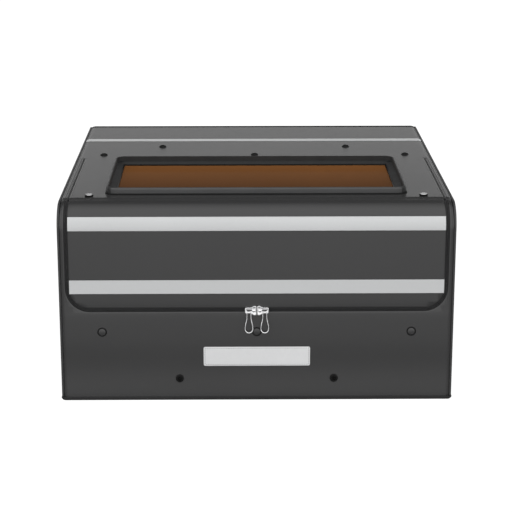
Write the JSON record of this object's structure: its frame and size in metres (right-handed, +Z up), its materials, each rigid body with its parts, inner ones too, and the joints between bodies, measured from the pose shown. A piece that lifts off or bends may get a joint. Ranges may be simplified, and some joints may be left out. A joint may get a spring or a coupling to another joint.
{
  "type": "desktop laser cutter",
  "caption": "Desktop laser cutter in a soft-sided enclosure: zip-up front flap and lid with an amber window, gantry engraver inside, exhaust fan and duct spigot at the rear.",
  "frame": {"origin": "middle of the base's underside", "axes": "+X to the right seen from the front, +Y to the rear, +Z up"},
  "size_m": [0.702, 0.7716, 0.372],
  "materials": {
    "wall_fabric": "matte coated grey fabric over a stiff board",
    "base_fabric": "dark heat-resistant floor sheet",
    "trim_fabric": "dark woven binding and piping",
    "reflective": "light grey reflective tape",
    "zip_fabric": "dark coil zip tape",
    "label": "plain light grey sewn patch with no text",
    "frame_rod": "white glass-fibre rod",
    "frame_joint": "black moulded plastic",
    "snap_black": "black domed snap",
    "snap_metal": "bright metal cap",
    "disc": "disc flush with the wall",
    "grommet": "black rubber",
    "window_plastic": "dark grey moulded frame",
    "amber_pane": "amber laser-blocking sheet",
    "screw_steel": "small screws",
    "zip_metal": "bright plated zinc",
    "fan_plastic": "black moulded plastic",
    "wire_steel": "plated wire",
    "rail_black": "black anodised slotted bar",
    "guide_steel": "ground steel",
    "foot_plastic": "black moulded plastic",
    "bed_steel": "slatted steel",
    "belt_rubber": "black toothed belt",
    "motor_black": "black steel motor body",
    "bracket_metal": "black anodised plate",
    "pulley_metal": "plain aluminium",
    "laser_metal": "dark anodised finned block",
    "button_green": "green plastic",
    "button_red": "red plastic"
  },
  "bodies": {
    "enclosure": {"base_panel": "base_fabric", "left_panel": "wall_fabric", "right_panel": "wall_fabric", "rear_panel": "wall_fabric", "front_panel": "wall_fabric", "top_panel": "wall_fabric", "edge_piping": "trim_fabric", "hem_binding": "trim_fabric", "frame_hoops": "frame_rod", "frame_cross_rods": "frame_rod", "frame_tees": "frame_joint", "zipper_tape": "zip_fabric", "rear_reflective_strip": "reflective", "rear_snaps": "snap_black", "front_snap_discs": "disc", "cable_grommets": "grommet", "label_patch": "label", "fan_housing": "fan_plastic", "fan_guard": "wire_steel", "duct_spigot": "fan_plastic", "engraver_feet": "foot_plastic", "side_rails": "rail_black", "cross_rails": "rail_black", "y_guides": "guide_steel", "work_bed": "bed_steel", "y_belts": "belt_rubber", "y_motor": "motor_black", "axle_supports": "guide_steel", "control_box": "foot_plastic"},
    "lid": {"lid_panel": "wall_fabric", "window_frame": "window_plastic", "window_pane": "amber_pane", "window_retainer": "window_plastic", "window_screws": "screw_steel", "lid_snaps": "snap_metal"},
    "flap": {"door_flap": "wall_fabric", "door_reflective_strips": "reflective", "door_zipper_tape": "zip_fabric"},
    "left_slider": {"zip_slider_left": "zip_metal"},
    "right_slider": {"zip_slider_right": "zip_metal"},
    "left_pull": {"zip_pull_left": "zip_metal"},
    "right_pull": {"zip_pull_right": "zip_metal"},
    "exhaust_rotor": {"fan_rotor": "fan_plastic"},
    "y_shaft": {"y_drive_shaft": "guide_steel"},
    "left_idler": {"y_idler_left": "pulley_metal"},
    "right_idler": {"y_idler_right": "pulley_metal"},
    "gantry": {"gantry_beam": "rail_black", "gantry_end_plates": "bracket_metal", "guide_blocks": "guide_steel", "x_guide": "guide_steel", "gantry_brackets": "bracket_metal", "x_motor": "motor_black", "x_belt": "belt_rubber"},
    "x_drive": {"x_pulley": "pulley_metal"},
    "x_tension": {"x_idler": "pulley_metal"},
    "carriage": {"carriage": "bracket_metal"},
    "laser": {"laser_module": "laser_metal"},
    "laser_cooling": {"laser_fan": "fan_plastic"},
    "power_key": {"power_button": "button_green"},
    "stop_key": {"stop_button": "button_red"}
  },
  "joints": [
    {"name": "lid_hinge", "type": "hinge", "parent": "enclosure", "child": "lid", "pos_m": [0, 0.02, 0.36], "axis": [-1, 0, 0], "range_deg": [0, 140]},
    {"name": "flap_hinge", "type": "hinge", "parent": "lid", "child": "flap", "pos_m": [0, -0.312, 0.36], "axis": [-1, 0, 0], "range_deg": [0, 170]},
    {"name": "left_zip", "type": "slide", "parent": "flap", "child": "left_slider", "axis": [-1, 0, 0], "range_m": [0, 0.265]},
    {"name": "right_zip", "type": "slide", "parent": "flap", "child": "right_slider", "axis": [1, 0, 0], "range_m": [0, 0.265]},
    {"name": "left_pull_swing", "type": "hinge", "parent": "left_slider", "child": "left_pull", "pos_m": [-0.014, -0.3668, 0.1659], "axis": [-1, 0, 0], "range_deg": [0, 165]},
    {"name": "right_pull_swing", "type": "hinge", "parent": "right_slider", "child": "right_pull", "pos_m": [0.014, -0.3668, 0.1659], "axis": [-1, 0, 0], "range_deg": [0, 165]},
    {"name": "exhaust_spin", "type": "hinge", "parent": "enclosure", "child": "exhaust_rotor", "pos_m": [0.17, 0.336, 0.23], "axis": [0, 1, 0], "continuous": true},
    {"name": "y_travel", "type": "slide", "parent": "enclosure", "child": "gantry", "axis": [0, 1, 0], "range_m": [-0.262, 0.115]},
    {"name": "y_shaft_spin", "type": "hinge", "parent": "enclosure", "child": "y_shaft", "pos_m": [0, 0.226, 0.076], "axis": [1, 0, 0], "continuous": true},
    {"name": "left_idler_spin", "type": "hinge", "parent": "enclosure", "child": "left_idler", "pos_m": [-0.232, -0.226, 0.076], "axis": [1, 0, 0], "continuous": true},
    {"name": "right_idler_spin", "type": "hinge", "parent": "enclosure", "child": "right_idler", "pos_m": [0.232, -0.226, 0.076], "axis": [1, 0, 0], "continuous": true},
    {"name": "x_travel", "type": "slide", "parent": "gantry", "child": "carriage", "axis": [1, 0, 0], "range_m": [-0.07, 0.31]},
    {"name": "x_drive_spin", "type": "hinge", "parent": "gantry", "child": "x_drive", "pos_m": [-0.258, 0.11, 0.1634], "axis": [0, 1, 0], "continuous": true},
    {"name": "x_idler_spin", "type": "hinge", "parent": "gantry", "child": "x_tension", "pos_m": [0.258, 0.11, 0.1634], "axis": [0, 1, 0], "continuous": true},
    {"name": "focus_slide", "type": "slide", "parent": "carriage", "child": "laser", "axis": [0, 0, 1], "range_m": [-0.02, 0.04]},
    {"name": "laser_fan_spin", "type": "hinge", "parent": "laser", "child": "laser_cooling", "pos_m": [-0.12, 0.0501, 0.185], "axis": [0, 0, 1], "continuous": true},
    {"name": "power_press", "type": "slide", "parent": "enclosure", "child": "power_key", "axis": [0, 0, -1], "range_m": [0, 0.002], "stiffness_N_per_m": 300, "springref_m": -0.003},
    {"name": "stop_press", "type": "slide", "parent": "enclosure", "child": "stop_key", "axis": [0, 0, -1], "range_m": [0, 0.004], "stiffness_N_per_m": 400, "springref_m": -0.004}
  ],
  "couplings": [
    {"joint": "y_shaft_spin", "follows": "y_travel", "rad_per_m": -110.5},
    {"joint": "left_idler_spin", "follows": "y_travel", "rad_per_m": -110.5},
    {"joint": "right_idler_spin", "follows": "y_travel", "rad_per_m": -110.5},
    {"joint": "x_drive_spin", "follows": "x_travel", "rad_per_m": 110.5},
    {"joint": "x_idler_spin", "follows": "x_travel", "rad_per_m": 110.5}
  ]
}
